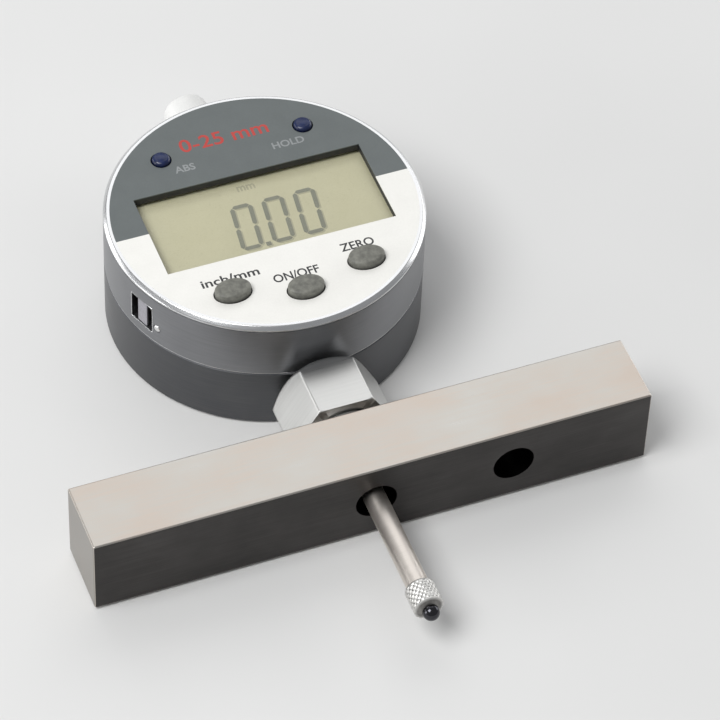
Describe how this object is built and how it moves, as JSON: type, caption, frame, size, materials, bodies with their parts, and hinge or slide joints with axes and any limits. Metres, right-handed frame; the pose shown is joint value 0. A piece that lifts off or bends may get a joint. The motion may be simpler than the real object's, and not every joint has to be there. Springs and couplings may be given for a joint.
{
  "type": "digital depth gauge",
  "caption": "Electronic plunger indicator with a round swivelling display head, clamped by its stem in a flat steel depth-gauge base.",
  "frame": {"origin": "centre of the base's measuring face, on the spindle's axis", "axes": "+X along the base bar, +Y along the spindle from the measuring face to the head, +Z out of the display"},
  "size_m": [0.1016, 0.127, 0.0266],
  "materials": {
    "ground_steel": "surface-ground",
    "bright_steel": "turned",
    "chrome_plate": "polished",
    "bronze": "turned",
    "housing_alloy": "satin",
    "display_alloy": "satin",
    "screw_steel": "plated",
    "grey_plastic": "fine texture",
    "black_rubber": "matt",
    "cell_steel": "bright",
    "black_plastic": "moulded",
    "spring_steel": "drawn",
    "pale_plastic": "satin",
    "board_green": "solder mask",
    "flex_film": "polyimide film",
    "spindle_steel": "ground",
    "contact_steel": "knurled",
    "ball_carbide": "lapped",
    "aluminium": "milled",
    "rim_white": "gloss",
    "label_grey": "printed film",
    "label_white": "printed film",
    "clear_glass": "clear",
    "display_beige": "liquid crystal",
    "reflector_foil": "foil",
    "socket_grey": "moulded",
    "gold_brass": "plated",
    "key_grey": "moulded",
    "key_navy": "moulded"
  },
  "bodies": {
    "gauge_frame": {"base_bar": "ground_steel", "collet": "bright_steel", "clamp_washer": "bright_steel", "stem": "bright_steel", "stem_bush_lower": "bronze", "stem_bush_upper": "bronze", "rear_housing": "housing_alloy", "back_cover": "housing_alloy", "back_screws": "screw_steel", "battery_cell": "cell_steel", "battery_holder": "black_plastic", "battery_springs": "spring_steel", "top_bush": "bronze", "dust_cap": "pale_plastic", "guide_pin": "bright_steel", "buffer_washer": "black_rubber", "return_spring": "spring_steel", "sensor_board": "board_green", "sensor_chip": "black_plastic", "sensor_screws": "screw_steel", "flex_cable": "flex_film", "swivel_ring": "spring_steel", "stop_pin": "bright_steel"},
    "plunger": {"spindle": "spindle_steel", "contact_point": "contact_steel", "contact_ball": "ball_carbide", "scale_carrier": "aluminium", "carrier_screw": "screw_steel", "scale_strip": "board_green"},
    "nut": {"clamp_nut": "chrome_plate"},
    "display_head": {"front_housing": "display_alloy", "bezel_ring": "rim_white", "face_plate": "black_plastic", "face_label_upper": "label_grey", "face_label_lower": "label_white", "window_pane": "clear_glass", "display_panel": "display_beige", "display_reflector": "reflector_foil", "contact_strips": "black_rubber", "main_board": "board_green", "main_chip": "black_plastic", "board_screws": "screw_steel", "dome_switches": "spring_steel", "port_socket": "socket_grey", "port_contacts": "gold_brass", "port_screw": "screw_steel"},
    "battery_cap": {"battery_cover": "grey_plastic", "battery_seal": "black_rubber"},
    "key_unit_button": {"key_unit": "key_grey"},
    "key_power_button": {"key_power": "key_grey"},
    "key_zero_button": {"key_zero": "key_grey"},
    "key_absolute_button": {"key_absolute": "key_navy"},
    "key_hold_button": {"key_hold": "key_navy"}
  },
  "joints": [
    {"name": "spindle_slide", "type": "slide", "parent": "gauge_frame", "child": "plunger", "axis": [0, 1, 0], "range_m": [0, 0.0254], "stiffness_N_per_m": 18, "springref_m": -0.04, "deforming": ["return_spring"]},
    {"name": "nut_turn", "type": "hinge", "parent": "gauge_frame", "child": "nut", "pos_m": [0, 0.02, 0], "axis": [0, 1, 0], "range_deg": [0, 120]},
    {"name": "display_swivel", "type": "hinge", "parent": "gauge_frame", "child": "display_head", "pos_m": [0, 0.0566, 0.005], "axis": [0, 0, 1], "range_deg": [-135, 135]},
    {"name": "battery_cap_turn", "type": "hinge", "parent": "gauge_frame", "child": "battery_cap", "pos_m": [-0.018, 0.0566, -0.0085], "axis": [0, 0, -1], "range_deg": [-60, 0]},
    {"name": "key_unit_press", "type": "slide", "parent": "display_head", "child": "key_unit_button", "axis": [0, 0, -1], "range_m": [0, 0.0006], "stiffness_N_per_m": 1800, "springref_m": -0.0004},
    {"name": "key_power_press", "type": "slide", "parent": "display_head", "child": "key_power_button", "axis": [0, 0, -1], "range_m": [0, 0.0006], "stiffness_N_per_m": 1800, "springref_m": -0.0004},
    {"name": "key_zero_press", "type": "slide", "parent": "display_head", "child": "key_zero_button", "axis": [0, 0, -1], "range_m": [0, 0.0006], "stiffness_N_per_m": 1800, "springref_m": -0.0004},
    {"name": "key_absolute_press", "type": "slide", "parent": "display_head", "child": "key_absolute_button", "axis": [0, 0, -1], "range_m": [0, 0.0006], "stiffness_N_per_m": 1800, "springref_m": -0.0004},
    {"name": "key_hold_press", "type": "slide", "parent": "display_head", "child": "key_hold_button", "axis": [0, 0, -1], "range_m": [0, 0.0006], "stiffness_N_per_m": 1800, "springref_m": -0.0004}
  ]
}
